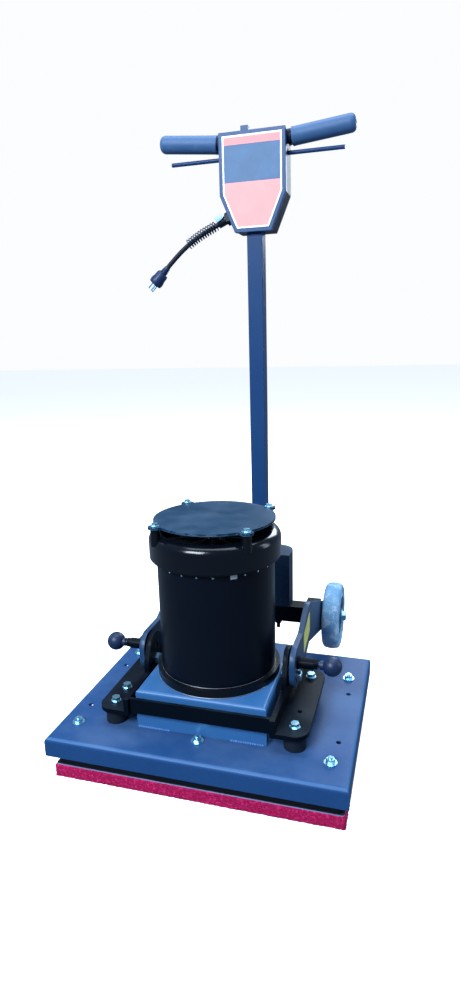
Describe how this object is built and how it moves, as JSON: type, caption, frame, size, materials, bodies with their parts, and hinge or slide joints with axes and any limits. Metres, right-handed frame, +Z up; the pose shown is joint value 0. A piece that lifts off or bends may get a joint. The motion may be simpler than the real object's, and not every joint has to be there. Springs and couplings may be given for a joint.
{
  "type": "orbital floor machine",
  "caption": "Upright orbital floor scrubber: rectangular pad driver under a sheet-metal deck, vertical motor, square handle tube with grips and trigger bar, and transport wheels at the back.",
  "frame": {"origin": "middle of the deck, on the face of the floor pad that meets the floor", "axes": "+Z up along the handle tube, +Y back towards the handle and wheels, +X across the machine"},
  "size_m": [0.524, 0.601, 1.162],
  "materials": {
    "grey_paint": "satin grey paint on folded steel",
    "black_paint": "semi-gloss black paint",
    "cowl_paint": "gloss black paint",
    "arm_paint": "satin dark grey paint",
    "tube_paint": "satin dark grey paint",
    "zinc": "bright zinc plating",
    "isolator_rubber": "matt black rubber",
    "bare_steel": "ground steel",
    "core_steel": "stacked electrical steel",
    "copper_wire": "varnished copper",
    "fan_plastic": "moulded plastic",
    "driver_board": "black plastic plate",
    "hook_sheet": "short stiff hooks",
    "pad_fibre": "open nylon fibre",
    "capacitor_can": "drawn can",
    "box_plastic": "fine textured plastic",
    "label_sheet": "printed film, plain bands",
    "grip_foam": "soft satin rubber",
    "cord_rubber": "matt cord jacket",
    "ball_plastic": "gloss ball knob",
    "hub_plastic": "moulded hub",
    "wheel_tyre": "light grey solid tyre"
  },
  "bodies": {
    "deck": {"deck_cover": "grey_paint", "deck_bolts": "zinc", "pad_isolators": "isolator_rubber", "motor_riser": "grey_paint", "frame_isolators": "isolator_rubber", "isolator_bolts": "zinc", "side_brackets": "black_paint", "frame_bars": "black_paint", "lower_bell": "black_paint", "motor_bolts": "zinc", "motor_shell": "black_paint", "stator_core": "core_steel", "stator_windings": "copper_wire", "motor_bearings": "bare_steel", "upper_bell": "black_paint", "fan_cowl": "cowl_paint", "cover_spacers": "cowl_paint", "cover_disc": "cowl_paint", "cover_bolts": "zinc", "pivot_bolts": "zinc"},
    "rotor": {"motor_shaft": "bare_steel", "rotor_core": "core_steel", "cooling_fan": "fan_plastic", "eccentric_hub": "bare_steel", "counterweight": "core_steel"},
    "pad": {"orbit_bearing": "bare_steel", "bearing_housing": "core_steel", "driver_bolts": "zinc", "pad_driver": "driver_board", "hook_layer": "hook_sheet", "floor_pad": "pad_fibre"},
    "handle": {"left_arm": "arm_paint", "right_arm": "arm_paint", "crossbar": "black_paint", "axle_bolts": "zinc", "plunger_housings": "arm_paint", "handle_socket": "black_paint", "capacitor_box": "black_paint", "capacitor": "capacitor_can", "handle_tube": "tube_paint", "control_box": "box_plastic", "box_lid": "box_plastic", "label_plate": "label_sheet", "box_screws": "zinc", "handlebar": "tube_paint", "hand_grips": "grip_foam", "main_switch": "box_plastic", "cord_gland": "cord_rubber", "cord_spring": "zinc", "power_cord": "cord_rubber", "cord_plug": "cord_rubber"},
    "trigger": {"trigger_bar": "tube_paint"},
    "button": {"lock_button": "box_plastic"},
    "plunger_left": {"left_plunger": "ball_plastic"},
    "plunger_right": {"right_plunger": "ball_plastic"},
    "wheel_left": {"left_wheel_hub": "hub_plastic", "left_tyre": "wheel_tyre"},
    "wheel_right": {"right_wheel_hub": "hub_plastic", "right_tyre": "wheel_tyre"}
  },
  "joints": [
    {"name": "rotor_spin", "type": "hinge", "parent": "deck", "child": "rotor", "pos_m": [0, -0.017, 0.2], "axis": [0, 0, 1], "continuous": true},
    {"name": "pad_orbit", "type": "hinge", "parent": "rotor", "child": "pad", "pos_m": [0.003, -0.017, 0.05], "axis": [0, 0, 1], "continuous": true},
    {"name": "handle_tilt", "type": "hinge", "parent": "deck", "child": "handle", "pos_m": [0, -0.017, 0.15], "axis": [-1, 0, 0], "range_deg": [0, 7.5]},
    {"name": "left_wheel_spin", "type": "hinge", "parent": "handle", "child": "wheel_left", "pos_m": [-0.169, 0.318, 0.12], "axis": [1, 0, 0], "continuous": true},
    {"name": "right_wheel_spin", "type": "hinge", "parent": "handle", "child": "wheel_right", "pos_m": [0.169, 0.318, 0.12], "axis": [1, 0, 0], "continuous": true},
    {"name": "left_plunger_pull", "type": "slide", "parent": "handle", "child": "plunger_left", "axis": [-1, 0, 0], "range_m": [0, 0.01], "stiffness_N_per_m": 800, "springref_m": -0.005},
    {"name": "right_plunger_pull", "type": "slide", "parent": "handle", "child": "plunger_right", "axis": [1, 0, 0], "range_m": [0, 0.01], "stiffness_N_per_m": 800, "springref_m": -0.005},
    {"name": "trigger_lift", "type": "slide", "parent": "handle", "child": "trigger", "axis": [0, 0, 1], "range_m": [0, 0.004], "stiffness_N_per_m": 1500, "springref_m": -0.002},
    {"name": "lock_press", "type": "slide", "parent": "handle", "child": "button", "axis": [0, 0, -1], "range_m": [0, 0.005], "stiffness_N_per_m": 600, "springref_m": -0.003}
  ],
  "couplings": [
    {"joint": "pad_orbit", "follows": "rotor_spin", "ratio": -1}
  ]
}
